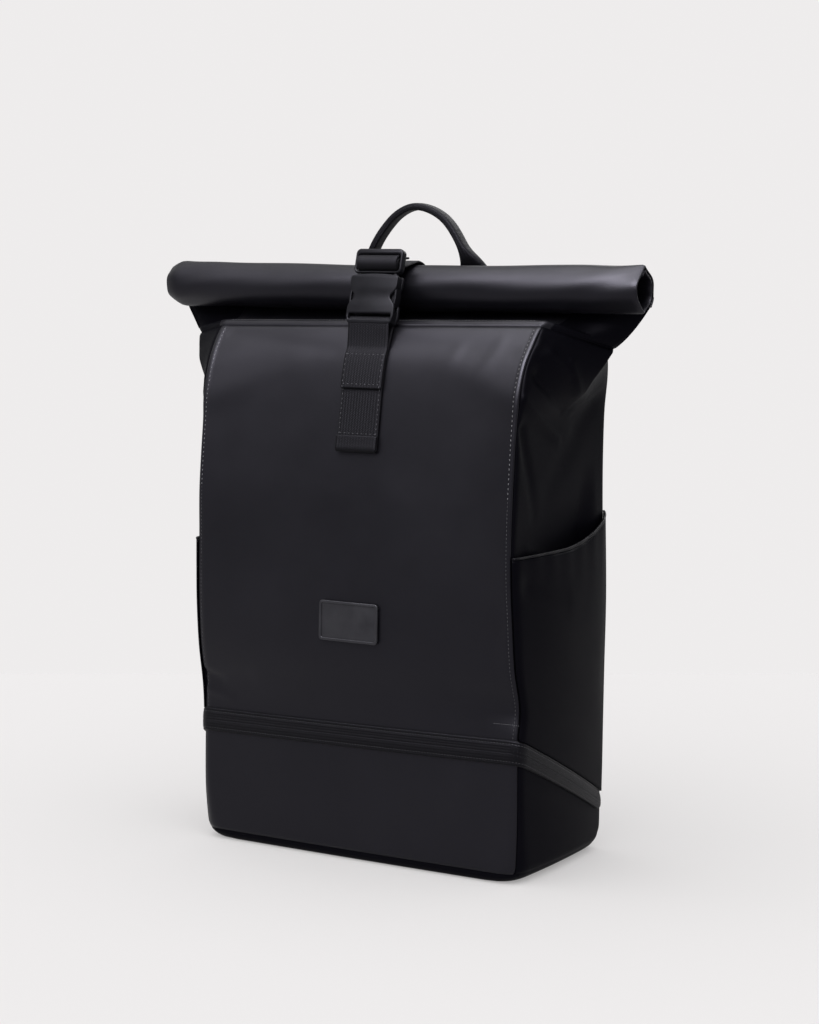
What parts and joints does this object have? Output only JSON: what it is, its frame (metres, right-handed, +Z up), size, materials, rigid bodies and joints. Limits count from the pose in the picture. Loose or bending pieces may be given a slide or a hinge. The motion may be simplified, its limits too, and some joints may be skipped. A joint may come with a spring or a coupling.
{
  "type": "rolltop backpack",
  "caption": "Soft black rolltop backpack with a front buckle strap, side pockets, a wrap-round zip, a top grab handle and padded shoulder straps, standing empty.",
  "frame": {"origin": "Middle of the flat base that the bag stands on.", "axes": "+X is the bag's right in the front view, -Y is the front with the buckle, +Y the padded back, +Z is up."},
  "size_m": [0.444, 0.186, 0.5245],
  "materials": {
    "coated_cloth": "black coated cloth, smooth with a soft sheen",
    "side_cloth": "black plain weave, duller than the front",
    "padded_cloth": "black padded mesh cloth",
    "webbing": "black woven webbing with fine ribs",
    "zip_tape": "black reverse coil zip tape",
    "slider_metal": "dark painted zip slider",
    "buckle_plastic": "satin moulded black plastic",
    "patch_rubber": "matt moulded rubber, blank"
  },
  "bodies": {
    "root": {"front_panel": "coated_cloth", "back_panel": "padded_cloth", "base_panel": "coated_cloth", "lower_front": "coated_cloth", "zip_band": "zip_tape", "zip_slider": "slider_metal", "rolltop": "coated_cloth", "closure_strap": "webbing", "buckle_frame": "buckle_plastic", "buckle_body": "buckle_plastic", "front_strap": "webbing", "patch": "patch_rubber", "top_handle": "webbing", "side_panel_left": "side_cloth", "lower_side_left": "side_cloth", "side_pocket_left": "side_cloth", "shoulder_strap_left": "padded_cloth", "strap_adjuster_left": "buckle_plastic", "lower_webbing_left": "webbing", "side_panel_right": "side_cloth", "lower_side_right": "side_cloth", "side_pocket_right": "side_cloth", "shoulder_strap_right": "padded_cloth", "strap_adjuster_right": "buckle_plastic", "lower_webbing_right": "webbing"}
  },
  "joints": []
}
